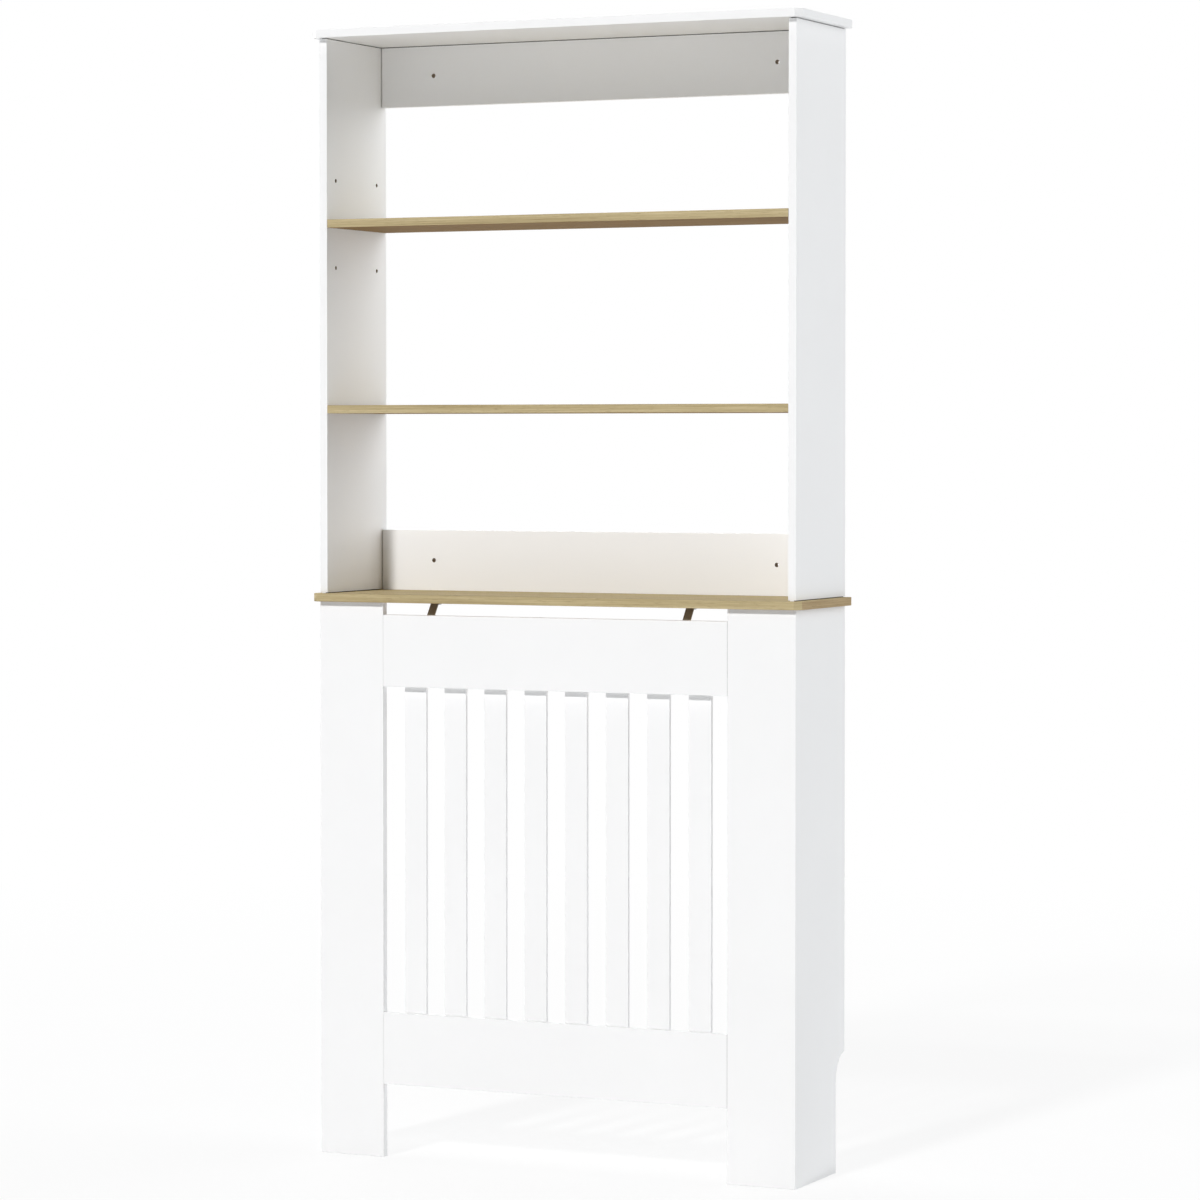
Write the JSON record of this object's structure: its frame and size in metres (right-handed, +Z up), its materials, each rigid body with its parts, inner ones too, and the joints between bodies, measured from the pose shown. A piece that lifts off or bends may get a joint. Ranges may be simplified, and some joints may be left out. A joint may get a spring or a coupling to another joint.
{
  "type": "radiator cover cabinet",
  "caption": "Tall narrow radiator cover: slatted front on L-shaped legs, oak countertop over it, open shelf tower with an adjustable shelf.",
  "frame": {"origin": "middle of the overall footprint, at floor level", "axes": "+Z up, +Y from the front towards the wall, +X to the right seen from the front"},
  "size_m": [0.775, 0.196, 1.65],
  "materials": {
    "white_lacquer": "satin white lacquer on fibreboard",
    "oak_foil": "light oak effect foil with fine straight grain, matt",
    "bronzed_steel": "dark bronze coated steel strip, satin",
    "zinc_steel": "bright zinc plating",
    "beech": "fluted raw beech"
  },
  "bodies": {
    "cabinet": {"top_board": "white_lacquer", "upper_side_left": "white_lacquer", "upper_side_right": "white_lacquer", "upper_back_rail": "white_lacquer", "lower_back_rail": "white_lacquer", "lower_side_left": "white_lacquer", "lower_side_right": "white_lacquer", "front_stile_left": "white_lacquer", "front_stile_right": "white_lacquer", "grille_top_rail": "white_lacquer", "grille_bottom_rail": "white_lacquer", "slat_1": "white_lacquer", "slat_2": "white_lacquer", "slat_3": "white_lacquer", "slat_4": "white_lacquer", "slat_5": "white_lacquer", "slat_6": "white_lacquer", "slat_7": "white_lacquer", "slat_8": "white_lacquer", "countertop": "oak_foil", "middle_shelf": "oak_foil", "brace_left": "bronzed_steel", "dowel_countertop_left": "beech", "shelf_peg_front_left": "zinc_steel", "shelf_peg_back_left": "zinc_steel", "dowel_upper_back_rail_left": "beech", "cam_bolt_upper_back_rail_left": "zinc_steel", "cam_lock_upper_back_rail_left": "zinc_steel", "dowel_lower_back_rail_left": "beech", "cam_bolt_lower_back_rail_left": "zinc_steel", "cam_lock_lower_back_rail_left": "zinc_steel", "dowel_middle_shelf_left": "beech", "cam_bolt_middle_shelf_left": "zinc_steel", "cam_lock_middle_shelf_left": "zinc_steel", "dowel_grille_top_rail_left": "beech", "cam_bolt_grille_top_rail_left": "zinc_steel", "cam_lock_grille_top_rail_left": "zinc_steel", "dowel_grille_bottom_rail_left": "beech", "cam_bolt_grille_bottom_rail_left": "zinc_steel", "cam_lock_grille_bottom_rail_left": "zinc_steel", "brace_right": "bronzed_steel", "dowel_countertop_right": "beech", "shelf_peg_front_right": "zinc_steel", "shelf_peg_back_right": "zinc_steel", "dowel_upper_back_rail_right": "beech", "cam_bolt_upper_back_rail_right": "zinc_steel", "cam_lock_upper_back_rail_right": "zinc_steel", "dowel_lower_back_rail_right": "beech", "cam_bolt_lower_back_rail_right": "zinc_steel", "cam_lock_lower_back_rail_right": "zinc_steel", "dowel_middle_shelf_right": "beech", "cam_bolt_middle_shelf_right": "zinc_steel", "cam_lock_middle_shelf_right": "zinc_steel", "dowel_grille_top_rail_right": "beech", "cam_bolt_grille_top_rail_right": "zinc_steel", "cam_lock_grille_top_rail_right": "zinc_steel", "dowel_grille_bottom_rail_right": "beech", "cam_bolt_grille_bottom_rail_right": "zinc_steel", "cam_lock_grille_bottom_rail_right": "zinc_steel"},
    "adjustable_shelf": {"upper_shelf": "oak_foil"}
  },
  "joints": [
    {"name": "shelf_lift", "type": "slide", "parent": "cabinet", "child": "adjustable_shelf", "axis": [0, 0, 1], "range_m": [0, 0.064]}
  ]
}
